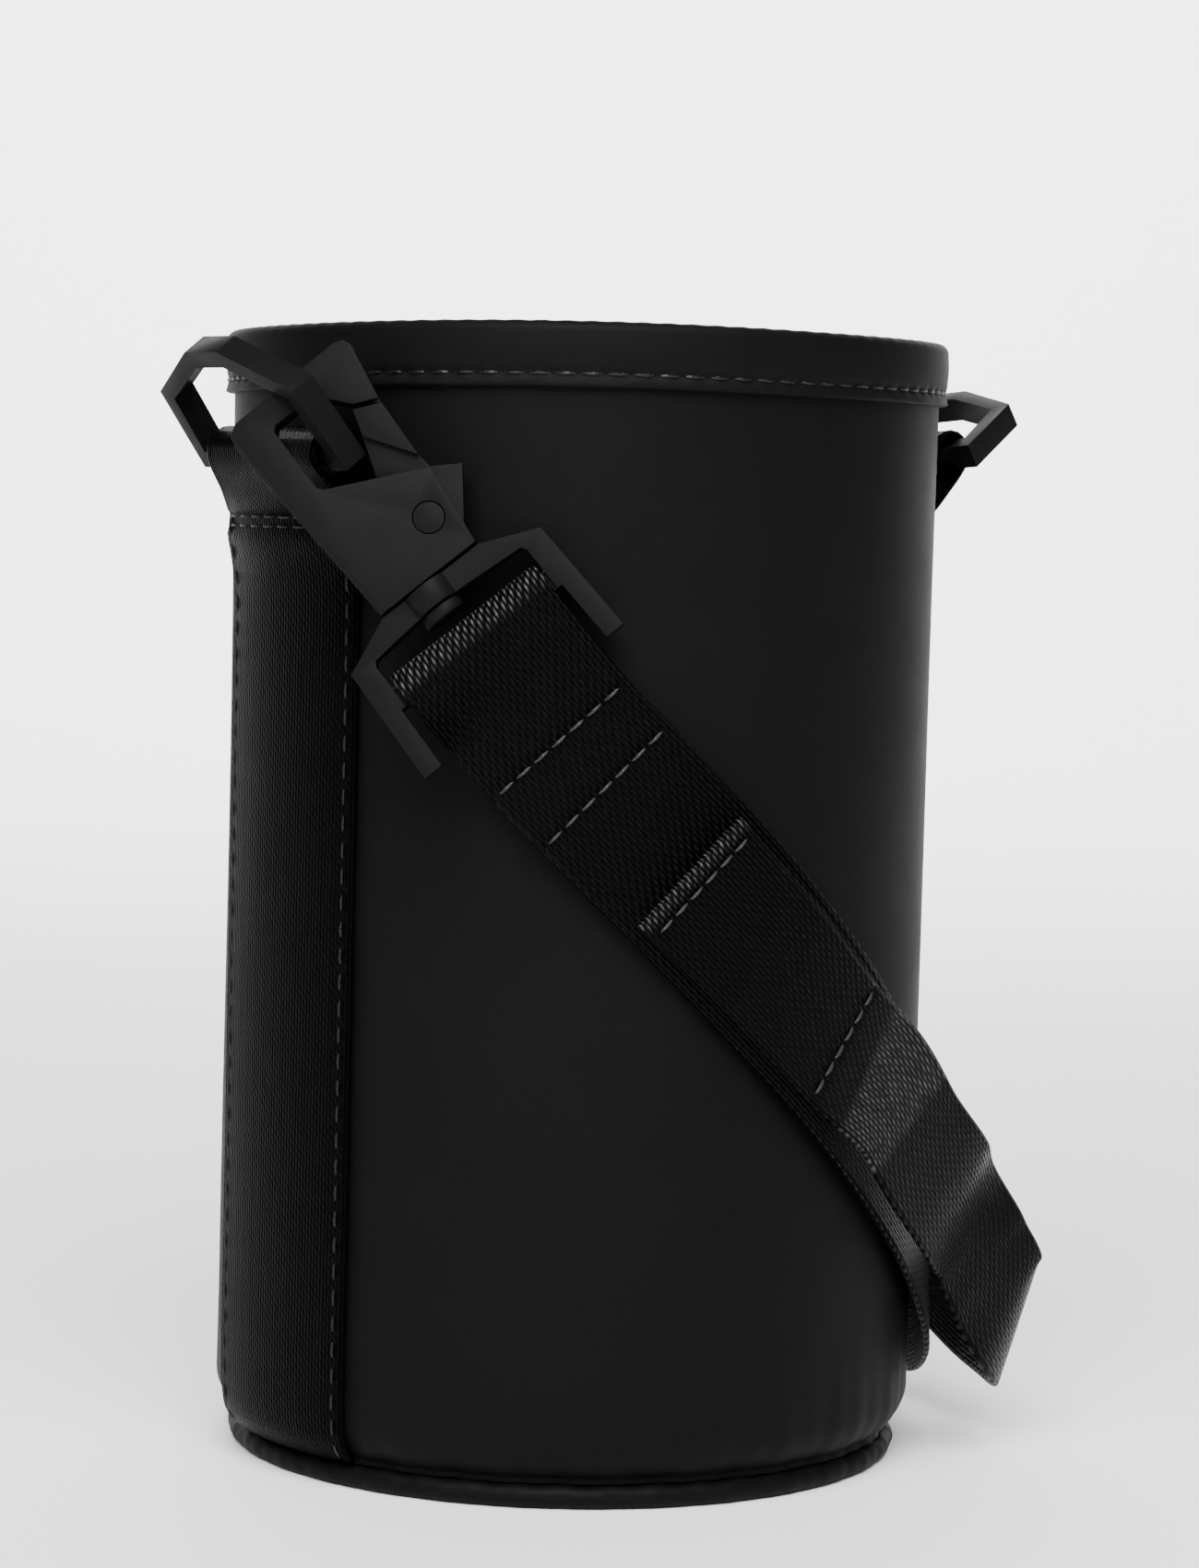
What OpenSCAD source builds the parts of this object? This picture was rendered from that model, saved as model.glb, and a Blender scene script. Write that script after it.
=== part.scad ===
/* [Bag] */
// Outside radius of the wall at the rim
rim_r = 63; // [56:0.5:66]
// Outside radius of the wall near the base
foot_r = 62.3; // [56:0.1:66]
// Height of the bag from the floor to the rim
bag_h = 198.5; // [185:0.5:205]
// Thickness of the coated wall cloth
wall_t = 1.4; // [1:0.1:2]
// Depth of the folded hem at the rim
hem_h = 11; // [8:0.5:14]
// Radius of the piping round the base
piping_r = 2; // [1.5:0.1:2.5]

/* [Webbing] */
// Width of the upright webbing on each side
side_web_w = 38.2; // [30:0.1:40]
// Width of the strap's main webbing
strap_w = 30; // [25:0.5:32]
// Width of the layer sewn on top of the strap
top_web_w = 25; // [20:0.5:28]
// Thickness of every webbing
web_t = 1.4; // [1:0.1:1.6]

/* [Rings] */
// Half of the ring's outside width at its base bar
ring_base = 22.8; // [22.4:0.1:24]
// Height of the ring's corners above the base bar
ring_corner_h = 14.5; // [12:0.5:18]
// Height of the ring's blunt top above the base bar
ring_top_h = 22.5; // [19:0.5:27]
// Width of the ring's bars across its face
ring_bar_w = 3.2; // [2.8:0.1:3.4]
// Depth of the ring's bars through its face
ring_bar_d = 4.6; // [4:0.1:5.4]
journal_half = 18;     // half length of the round part of a ring's base bar

/* [Snap hooks] */
// Thickness of the hook's plate
hook_t = 5.8; // [5:0.1:7]
// Radius of the gate's pin
pin_r = 1.5; // [1.2:0.1:1.8]
// Radius of the swivel stud's shaft
stud_r = 2.2; // [1.8:0.1:2.4]
// Running clearance between a shaft and its hole
running = 0.08; // [0.03:0.01:0.1]

/* [Hidden] */
$fn = 96;

black = [0.07, 0.07, 0.075];
web_black = [0.04, 0.04, 0.045];
metal_black = [0.16, 0.165, 0.18];

// Heights and gaps of the bag
gap = 0.3;
foot_round = 8;
foot_z = 12;
wall_low = 4.3;
stitch_z = 165.4;
loop_w = 34;
loop_r = 3.2;
board_t = 1.5;
base_r = 54.6;
piping_at = 58.2;

// Poses: [origin, yaw, lean, roll]. In its own axes a fitting faces -Y,
// its width runs along X and its height along Z.
ring_l_pose = [[-69.3, -6.3, 175.6], -91.7, 38.6, 0.7];
ring_r_pose = [[70.1, -1.3, 178.5], 89.5, 58.6, 9];
hook_l_pose = [[-59.7, -38, 155], -40.3, -7.5, -39.8];
hook_r_pose = [[75.7, 22, 150.8], 104.3, -2.5, -0.7];

// The frame's bar that carries the strap
bar_z = -12.4;
bar_half = 1.6;
bar_web_r = 3.5;

module place(pose) {
    translate(pose[0])
        rotate([0, 0, pose[1]])
            rotate([pose[2], 0, 0])
                rotate([0, pose[3], 0])
                    children();
}

// The same move for a point
function turn_x(p, a) = [p[0], p[1] * cos(a) - p[2] * sin(a), p[1] * sin(a) + p[2] * cos(a)];
function turn_y(p, a) = [p[0] * cos(a) + p[2] * sin(a), p[1], p[2] * cos(a) - p[0] * sin(a)];
function turn_z(p, a) = [p[0] * cos(a) - p[1] * sin(a), p[0] * sin(a) + p[1] * cos(a), p[2]];
function aim(pose, p) = turn_z(turn_x(turn_y(p, pose[3]), pose[2]), pose[1]);
function put(pose, p) = pose[0] + aim(pose, p);

// A point round the bag: angle 0 is the front, 90 the right side
function round_bag(a, r, z) = [r * sin(a), -r * cos(a), z];
function unit(v) = v / norm(v);

// Catmull-Rom curve through the points p, with n steps a span
function spline_at(a, b, c, d, t) =
    0.5 * ((2 * b) + (c - a) * t + (2 * a - 5 * b + 4 * c - d) * t * t
    + (3 * b - a - 3 * c + d) * t * t * t);
function spline(p, n) = [
    for (i = [0:len(p) - 2])
        for (k = [0:n - 1])
            spline_at(p[max(i - 1, 0)], p[i], p[i + 1], p[min(i + 2, len(p) - 1)], k / n),
    p[len(p) - 1]
];

// A flat band through stations of [centre, width direction]
module band(centres, widths, w, t) {
    last = len(centres) - 1;
    rings = [
        for (i = [0:last])
            let (
                run = unit(centres[min(i + 1, last)] - centres[max(i - 1, 0)]),
                across = unit(widths[i] - run * (widths[i] * run)),
                out = cross(across, run)
            )
            [
                centres[i] - across * w / 2 - out * t / 2,
                centres[i] + across * w / 2 - out * t / 2,
                centres[i] + across * w / 2 + out * t / 2,
                centres[i] - across * w / 2 + out * t / 2
            ]
    ];
    pts = [for (r = rings) for (p = r) p];
    sides = [
        for (i = [0:last - 1])
            for (k = [0:3])
                for (tri = [[0, 1, 5], [0, 5, 4]])
                    [for (q = tri) 4 * i + (q < 4 ? (q + k) % 4 : 4 + (q + k) % 4)]
    ];
    polyhedron(pts, concat([[3, 2, 1], [3, 1, 0]], sides,
        [[4 * last, 4 * last + 1, 4 * last + 2], [4 * last, 4 * last + 2, 4 * last + 3]]));
}

/* ---- The bag ---- */

// Arc of the wall's foot, offset inwards by k
function foot_arc(k, from, to, steps) = [
    for (i = [0:steps])
        let (a = from + (to - from) * i / steps)
        [
            foot_r - foot_round + (foot_round - k) * cos(a),
            foot_z + (foot_round - k) * sin(a)
        ]
];

// Outline of the wall from its turned-in foot to its top edge
module wall_profile() {
    top = bag_h - wall_t - gap;
    polygon(concat(
        [[foot_r - 3, wall_low]],
        foot_arc(0, -45, 0, 6),
        [[rim_r, top], [rim_r - wall_t, top]],
        foot_arc(wall_t, 0, -45, 6),
        [[foot_r - 3 - wall_t, wall_low]]
    ));
}

module wall_half(start) {
    rotate([0, 0, start])
        rotate_extrude(angle = 179.6)
            wall_profile();
}

module front_panel() {
    color(black)
        wall_half(-179.8);
}

module back_panel() {
    color(black)
        wall_half(0.2);
}

module rim_hem() {
    out = rim_r + gap;
    color(black)
        rotate_extrude()
            difference() {
                union() {
                    translate([rim_r - wall_t - gap - 1.2, bag_h - hem_h])
                        square([1.2 + gap + wall_t + gap + 1.2, hem_h - 1.6]);
                    translate([rim_r - wall_t - gap - 1.2 + 1.4, bag_h - 1.6 - 0.2])
                        square([wall_t + 2 * gap + 2.4 - 2.8, 1.8]);
                    translate([out + 1.2 - 1.6, bag_h - 1.6])
                        circle(r = 1.6, $fn = 32);
                    translate([rim_r - wall_t - gap - 1.2 + 1.6, bag_h - 1.6])
                        circle(r = 1.6, $fn = 32);
                }
                translate([rim_r - wall_t - 0.1, bag_h - hem_h - 1])
                    square([wall_t + 0.2, hem_h + 1 - wall_t + 0.1]);
            }
}

module base_panel() {
    color(black)
        cylinder(r = base_r, h = wall_t);
}

module base_board() {
    color([0.2, 0.2, 0.2])
        translate([0, 0, wall_t + 0.2])
            cylinder(r = base_r - 0.8, h = board_t);
}

module base_seam_tape() {
    color(web_black)
        rotate_extrude()
            translate([base_r + 0.1, wall_t + 0.1])
                square([1.2, 7.5]);
}

module piping_cover() {
    color(black)
        rotate_extrude()
            translate([piping_at, piping_r])
                difference() {
                    circle(r = piping_r, $fn = 40);
                    circle(r = piping_r - 0.7, $fn = 40);
                }
}

module piping_cord() {
    color([0.3, 0.3, 0.3])
        rotate_extrude()
            translate([piping_at, piping_r])
                circle(r = piping_r - 0.75, $fn = 32);
}

/* ---- Side webbings and rings ---- */

// One end of a stretch of the loop, y from its middle: a circle of radius
// low_r at the stitching, out from the wall by step, and one round the bar
module loop_slice(side, pose, y, step, low_z, low_r, top_r) {
    dir = aim(pose, [1, 0, 0]);
    at = pose[0] + dir * (y - side) / dir[1];
    low_x = sqrt(pow(rim_r + step, 2) - pow(at[1], 2));
    translate([0, at[1], 0])
        rotate([90, 0, 0]) {
            translate([side * low_x, low_z])
                cylinder(r = low_r, h = 0.01, $fn = 24);
            translate([at[0] - side * 0.3, at[2]])
                cylinder(r = top_r, h = 0.01, $fn = 32);
        }
}

module loop_solid(side, pose, half, step, low_z, low_r, top_r) {
    for (k = [0:1])
        hull()
            for (y = [(k - 1) * half, k * half])
                loop_slice(side, pose, y, step, low_z, low_r, top_r);
}

// side is -1 on the left and 1 on the right
module side_webbing(side, pose) {
    half = side_web_w / 2 / rim_r * 180 / PI;
    turn = side < 0 ? 180 : 0;
    // The upright strip follows the wall, then turns in under the foot
    rotate([0, 0, turn - half])
        rotate_extrude(angle = 2 * half)
            polygon([
                [foot_r - 1.7, 6.4],
                [foot_r - 0.3, 9],
                [foot_r + 0.2, foot_z],
                [rim_r + 0.2, stitch_z],
                [rim_r + 0.2 + web_t, stitch_z],
                [foot_r + 0.2 + web_t, foot_z - 0.6],
                [foot_r + 1, 8],
                [foot_r - 0.6, 5.4]
            ]);
    // The loop that holds the ring's base bar
    difference() {
        loop_solid(side, pose, loop_w / 2, 1.3, stitch_z, 0.95, loop_r + web_t);
        loop_solid(side, pose, loop_w / 2 + 0.5, 2.9, stitch_z + 3.5, 0.3, loop_r);
    }
}

module side_webbing_left() {
    color(web_black)
        side_webbing(-1, ring_l_pose);
}

module side_webbing_right() {
    color(web_black)
        side_webbing(1, ring_r_pose);
}

// Outline of the ring: wide base bar, upright arms, sloping top
module ring_outline(k) {
    polygon([
        [-ring_base + k, -ring_bar_w / 2 + k],
        [-ring_base + 1.4 + k, ring_corner_h - 0.5 * k],
        [-5 + 0.2 * k, ring_top_h - k],
        [5 - 0.2 * k, ring_top_h - k],
        [ring_base - 1.4 - k, ring_corner_h - 0.5 * k],
        [ring_base - k, -ring_bar_w / 2 + k]
    ]);
}

module ring() {
    difference() {
        rotate([90, 0, 0])
            linear_extrude(ring_bar_d, center = true)
                difference() {
                    ring_outline(0);
                    ring_outline(ring_bar_w);
                }
        // The base bar is turned round where the loop runs on it
        cube([2 * journal_half, ring_bar_d + 2, ring_bar_w + 0.4], center = true);
    }
    rotate([0, 90, 0])
        cylinder(r = ring_bar_w / 2, h = 2 * journal_half, center = true);
}

module ring_left() {
    color(metal_black)
        place(ring_l_pose)
            ring();
}

module ring_right() {
    color(metal_black)
        place(ring_r_pose)
            ring();
}

/* ---- Snap hook, in its own axes: the tip points up Z, the gate is at +X ---- */

gate_at = [6.2, 8.1];
slot_half = 1.7;

module plate(t) {
    rotate([90, 0, 0])
        linear_extrude(t, center = true)
            children();
}

module hook_shape() {
    polygon([
        [-9.8, 0.3], [-11.8, 36.6], [-11.2, 38.8], [-9.4, 40],
        [11.4, 40.6], [13, 40], [13.6, 38.6], [11.8, 28.8], [8, 30.5],
        [4.5, 34.4], [1.5, 35.7], [-4.2, 35.7], [-5.1, 34.9], [-5.3, 23.4],
        [-4.6, 22.4], [11.5, 14.6], [9.8, 0.3]
    ]);
}

module hook_body() {
    difference() {
        plate(hook_t)
            hook_shape();
        // Slot that the gate swings in
        plate(2 * slot_half)
            polygon([[1.6, 2.6], [-3.5, 18], [-3.5, 30], [20, 30], [20, 2.6]]);
        // Seat of the pin and its two heads
        translate([gate_at[0], 0, gate_at[1]])
            rotate([90, 0, 0]) {
                cylinder(r = pin_r + 0.02, h = hook_t + 2, center = true);
                for (s = [-1, 1])
                    translate([0, 0, s * hook_t / 2])
                        cylinder(r = 2.75, h = 1.4, center = true);
            }
        // Blind hole of the swivel stud
        translate([-1.5, 0, 0])
            cylinder(r = stud_r - 0.02, h = 7);
        // Long bevel down the back edge, on both faces
        for (s = [-1, 1])
            translate([-11.4, s * hook_t / 2, 20])
                rotate([0, -3.15, 0])
                    rotate([0, 0, s * 45])
                        cube([1.9, 1.9, 46], center = true);
    }
}

module swivel_stud() {
    translate([-1.5, 0, -6.4])
        cylinder(r = 3.7, h = 2);
    translate([-1.5, 0, -4.5])
        cylinder(r = stud_r, h = 11.4);
}

module swivel_frame() {
    difference() {
        union() {
            plate(4.4)
                polygon([
                    [-9.8, -0.2], [9.8, -0.2], [19.6, -4.4], [20.5, -25.2], [17, -25.2],
                    [16.6, -14], [-16.6, -14], [-17, -25.2], [-20.5, -25.2], [-19.6, -4.4]
                ]);
            translate([-1.5, 0, -4.1])
                cylinder(r = 4.4, h = 3.9);
        }
        // Slot above the strap's bar
        plate(12)
            polygon([
                [-15, -5], [-6.2, -4.2], [3.2, -4.2], [15, -5], [15.6, -6], [15.6, -10],
                [14.8, -10.8], [-14.8, -10.8], [-15.6, -10], [-15.6, -6]
            ]);
        // The bar is thinner than the frame
        for (s = [-1, 1])
            translate([0, s * (bar_half + 1), bar_z - 0.5])
                cube([31.2, 2, 4.4], center = true);
        translate([-1.5, 0, -6])
            cylinder(r = stud_r + running, h = 8);
    }
}

module gate() {
    difference() {
        plate(2 * slot_half - 0.4) {
            polygon([
                [7.3, 29.9], [11.7, 27.9], [11.2, 17.3], [11.5, 14.9], [16, 12],
                [10.3, 4.2], [6.2, 3.9], [3.4, 5.2], [2.2, 8], [3.4, 18.5]
            ]);
        }
        translate([gate_at[0], 0, gate_at[1]])
            rotate([90, 0, 0])
                cylinder(r = pin_r + running, h = hook_t, center = true);
        // Pocket of the torsion spring
        translate([gate_at[0], 0.3, gate_at[1]])
            rotate([-90, 0, 0])
                cylinder(r = 2.9, h = 4);
    }
    // Wider nose above the plate
    for (s = [-1, 1])
        translate([0, s * (slot_half - 0.2 + 0.6), 0])
            plate(1.3)
                polygon([[5.9, 25.4], [11.2, 17.5], [11.7, 27.9], [7.3, 29.9]]);
}

module gate_pin() {
    translate([gate_at[0], 0, gate_at[1]])
        rotate([90, 0, 0]) {
            cylinder(r = pin_r, h = hook_t - 0.2, center = true);
            for (s = [-1, 1])
                translate([0, 0, s * (hook_t / 2 - 0.35)])
                    cylinder(r = 2.6, h = 0.6, center = true);
        }
}

module gate_spring() {
    // Two close turns of wire round the pin
    translate([gate_at[0], 0, gate_at[1]])
        rotate([90, 0, 0])
            for (k = [0:1])
                translate([0, 0, -0.62 - 0.62 * k])
                    rotate_extrude()
                        translate([2.2, 0])
                            circle(r = 0.3, $fn = 16);
}

module on_left() {
    color(metal_black)
        place(hook_l_pose)
            children();
}

module on_right() {
    color(metal_black)
        place(hook_r_pose)
            children();
}

/* ---- The strap ---- */

// Stations of [angle, radius, height, slant of the width, tip of the width]
main_run = [
    [-39.7, 67, 129.5, 43, 0],
    [-33, 66.5, 122, 43, 0],
    [-20.5, 65.2, 108.4, 43, 0],
    [-7, 64.6, 93.6, 43, 0],
    [7, 64.6, 78.6, 43, 0],
    [20, 64.6, 64.5, 43, 0],
    [34, 64.7, 50, 42, 0],
    [47, 65, 37.5, 38, 0],
    [59, 66, 28.5, 30, 2],
    [71, 67.5, 24, 5, 4],
    [83, 69, 26, -24, 6],
    [93, 69.5, 36, -51, 5],
    [101, 69.2, 54, -70, 3],
    [105, 68.9, 74, -81, 1],
    [106.8, 70.7, 92, -87, 0],
    [107, 75.2, 108, -90, 0],
    [106.6, 80.2, 123, -91, 0]
];
top_run = [
    [-20.5, 66.9, 108.4, 43, 0],
    [-7, 66.3, 93.6, 43, 0],
    [7, 66.3, 78.6, 43, 0],
    [18, 67.6, 69, 42, 3],
    [25, 69.9, 58.5, 41, 8],
    [33, 72.6, 49.1, 40, 15],
    [41, 73.2, 42.8, 37, 15],
    [44.5, 77, 34.1, 31, 17],
    [48, 80.9, 25.5, 24, 18],
    [53, 82.2, 22.6, 18, 18],
    [61, 81.5, 22.2, 6, 16],
    [69, 79.5, 24.2, -6, 13],
    [78, 76.5, 31, -18, 10],
    [90, 73.8, 45, -42, 6],
    [99, 71.9, 60, -66, 3],
    [104, 71, 75, -79, 1],
    [106.8, 72.9, 92, -87, 0]
];

function run_centre(s) = round_bag(s[0], s[1], s[2]);
function run_width(s) =
    let (
        up = [0, 0, 1],
        round = [cos(s[0]), sin(s[0]), 0],
        out = [sin(s[0]), -cos(s[0]), 0]
    )
    cos(s[4]) * (cos(s[3]) * up + sin(s[3]) * round) + sin(s[4]) * out;

// The turn round the frame's bar, from the back layer to the front layer
function bar_turn(pose, from, to, n) = [
    for (i = [0:n])
        let (a = from + (to - from) * i / n)
        put(pose, [0, bar_web_r * cos(a), bar_z + bar_web_r * sin(a)])
];

module strap_webbing() {
    back_l = [
        [-24, 64.8, 112.2, 43, 0],
        [-30, 64.8, 118.7, 43, 0],
        [-37, 64.9, 126.3, 43, 0]
    ];
    mid = spline([for (s = main_run) run_centre(s)], 3);
    mid_w = spline([for (s = main_run) run_width(s)], 3);
    left = concat(
        [for (s = back_l) run_centre(s)],
        bar_turn(hook_l_pose, -20, 200, 8)
    );
    left_w = [for (p = left) -aim(hook_l_pose, [-1, 0, 0])];
    right = bar_turn(hook_r_pose, 200, -20, 8);
    right_end = [
        round_bag(106.6, 78.4, 124),
        round_bag(107, 74.9, 113),
        round_bag(107, 71.7, 103)
    ];
    right_w = [for (p = concat(right, right_end)) aim(hook_r_pose, [-1, 0, 0])];
    color(web_black)
        band(concat(left, mid, right, right_end), concat(left_w, mid_w, right_w), strap_w, web_t);
}

module strap_top_layer() {
    color(web_black)
        band(
            spline([for (s = top_run) run_centre(s)], 3),
            spline([for (s = top_run) run_width(s)], 3),
            top_web_w, web_t
        );
}

module swivel_frame_left() { on_left() swivel_frame(); }
module hook_body_left() { on_left() hook_body(); }
module swivel_stud_left() { on_left() swivel_stud(); }
module gate_left() { on_left() gate(); }
module gate_pin_left() { on_left() gate_pin(); }
module gate_spring_left() { on_left() gate_spring(); }
module swivel_frame_right() { on_right() swivel_frame(); }
module hook_body_right() { on_right() hook_body(); }
module swivel_stud_right() { on_right() swivel_stud(); }
module gate_right() { on_right() gate(); }
module gate_pin_right() { on_right() gate_pin(); }
module gate_spring_right() { on_right() gate_spring(); }

front_panel();
back_panel();
rim_hem();
base_panel();
base_board();
base_seam_tape();
piping_cover();
piping_cord();
side_webbing_left();
side_webbing_right();
ring_left();
ring_right();
strap_webbing();
strap_top_layer();
swivel_frame_left();
hook_body_left();
swivel_stud_left();
gate_left();
gate_pin_left();
gate_spring_left();
swivel_frame_right();
hook_body_right();
swivel_stud_right();
gate_right();
gate_pin_right();
gate_spring_right();
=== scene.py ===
import math

import bpy
import numpy as np
from mathutils import Matrix, Vector


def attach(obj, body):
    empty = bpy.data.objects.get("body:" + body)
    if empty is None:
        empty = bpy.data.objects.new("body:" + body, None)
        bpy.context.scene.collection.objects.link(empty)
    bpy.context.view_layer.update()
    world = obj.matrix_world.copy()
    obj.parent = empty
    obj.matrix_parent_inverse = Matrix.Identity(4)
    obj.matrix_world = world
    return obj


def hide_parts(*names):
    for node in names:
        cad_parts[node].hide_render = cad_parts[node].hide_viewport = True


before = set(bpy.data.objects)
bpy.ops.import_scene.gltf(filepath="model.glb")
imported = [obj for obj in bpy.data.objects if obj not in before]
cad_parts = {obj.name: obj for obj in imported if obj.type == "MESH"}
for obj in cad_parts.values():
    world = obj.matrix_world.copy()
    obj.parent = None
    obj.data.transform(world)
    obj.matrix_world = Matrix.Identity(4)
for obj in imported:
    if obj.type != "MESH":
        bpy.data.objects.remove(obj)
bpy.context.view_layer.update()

MM = 0.001
UP = np.array([0.0, 0.0, 1.0])

# ---- Sizes, in millimetres, as in the part's own source ----
RIM_R = 63.0
FOOT_R = 62.3
BAG_H = 198.5
WALL_T = 1.4
HEM_H = 11.0
FOOT_Z = 12.0
PIPING_R = 2.0
PIPING_AT = 58.2
STITCH_Z = 165.4
WEB_T = 1.4
SIDE_WEB_W = 38.2
LOOP_W = 34.0
LOOP_R = 3.2
STRAP_W = 30.0
TOP_WEB_W = 25.0
RIM_STITCHES = 94

# Poses of the fittings: origin, yaw, lean, roll
RING_L = ((-69.3, -6.3, 175.6), -91.7, 38.6, 0.7)
RING_R = ((70.1, -1.3, 178.5), 89.5, 58.6, 9)
HOOK_L = ((-59.7, -38, 155), -40.3, -7.5, -39.8)
HOOK_R = ((75.7, 22, 150.8), 104.3, -2.5, -0.7)
BAR_Z = -12.4
BAR_WEB_R = 3.5


# ---- Geometry helpers ----

def turn(pose):
    """The rotation of a fitting's pose."""
    _, yaw, lean, roll = pose
    return np.array(
        Matrix.Rotation(math.radians(yaw), 3, "Z")
        @ Matrix.Rotation(math.radians(lean), 3, "X")
        @ Matrix.Rotation(math.radians(roll), 3, "Y")
    )


def aim(pose, direction):
    return turn(pose) @ np.array(direction, float)


def put(pose, point):
    return np.array(pose[0], float) + aim(pose, point)


def round_bag(angle, radius, height):
    """A point round the bag: angle 0 is the front, 90 the right side."""
    a = math.radians(angle)
    return np.array([radius * math.sin(a), -radius * math.cos(a), height])


def unit(v):
    return v / np.linalg.norm(v)


def curve_through(points, spacing):
    """Centripetal Catmull-Rom curve through rows whose first three columns are the place.

    Returns the curve's rows, and the index in them of each row given.
    """
    p = np.array(points, float)
    p = np.vstack([2 * p[0] - p[1], p, 2 * p[-1] - p[-2]])
    knots = np.concatenate(
        [[0], np.cumsum(np.sqrt(np.linalg.norm(np.diff(p[:, :3], axis=0), axis=1)))]
    )
    out, marks = [], []
    for i in range(1, len(p) - 2):
        k = knots[i - 1 : i + 3]
        steps = max(1, round(np.linalg.norm(p[i + 1, :3] - p[i, :3]) / spacing))
        marks.append(len(out))
        for t in np.linspace(k[1], k[2], steps, endpoint=False):
            a = [
                ((k[j + 1] - t) * p[i - 1 + j] + (t - k[j]) * p[i + j]) / (k[j + 1] - k[j])
                for j in range(3)
            ]
            b = [
                ((k[j + 2] - t) * a[j] + (t - k[j]) * a[j + 1]) / (k[j + 2] - k[j])
                for j in range(2)
            ]
            out.append(((k[2] - t) * b[0] + (t - k[1]) * b[1]) / (k[2] - k[1]))
    marks.append(len(out))
    out.append(p[-2])
    return np.array(out), marks


def make(name, verts, faces, material, uvs=None):
    """A smooth mesh object from millimetre points, with one UV per vertex in millimetres."""
    mesh = bpy.data.meshes.new(name)
    mesh.from_pydata([tuple(v) for v in np.array(verts) * MM], [], faces)
    if uvs is not None:
        layer = mesh.uv_layers.new(name="cloth")
        corner = np.zeros(len(mesh.loops), int)
        mesh.loops.foreach_get("vertex_index", corner)
        layer.data.foreach_set("uv", np.array(uvs, np.float32)[corner].ravel())
    mesh.polygons.foreach_set("use_smooth", [True] * len(mesh.polygons))
    mesh.materials.append(material)
    obj = bpy.data.objects.new(name, mesh)
    bpy.context.collection.objects.link(obj)
    return obj


def wrap_faces(rows, cols, close_rows):
    """Quads over a grid whose columns close on themselves, and its rows too if asked."""
    faces = []
    for i in range(rows if close_rows else rows - 1):
        n = (i + 1) % rows
        for j in range(cols):
            m = (j + 1) % cols
            faces.append((i * cols + j, n * cols + j, n * cols + m, i * cols + m))
    return faces


def revolve(name, profile, segments, material, shape=None):
    """A closed outline of (radius, height) turned about Z, with each point moved by shape."""
    verts, uvs = [], []
    run = np.concatenate([[0], np.cumsum(np.linalg.norm(np.diff(profile, axis=0), axis=1))])
    for k in range(segments):
        a = 360 * k / segments
        for (r, z), s in zip(profile, run):
            if shape:
                r, z = shape(a, r, z)
            verts.append(round_bag(a, r, z))
            uvs.append((math.radians(a) * RIM_R, s))
    return make(name, verts, wrap_faces(segments, len(profile), True), material, uvs)


def arc(cx, cz, radius, start, end, steps):
    """Points on an arc in (radius, height)."""
    return [
        (
            cx + radius * math.cos(math.radians(start + (end - start) * i / steps)),
            cz + radius * math.sin(math.radians(start + (end - start) * i / steps)),
        )
        for i in range(steps + 1)
    ]


def across_offsets(width, thick):
    """Offsets from edge to edge of a webbing, closer together at its rounded edges."""
    edge = [0, 0.04, 0.14, 0.32, thick / 2, thick]
    half = [-width / 2 + e for e in edge]
    inner = list(np.linspace(half[-1], 0, 7)[1:])
    left = half + inner
    return np.array(left + [-x for x in left[-2::-1]])


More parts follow.
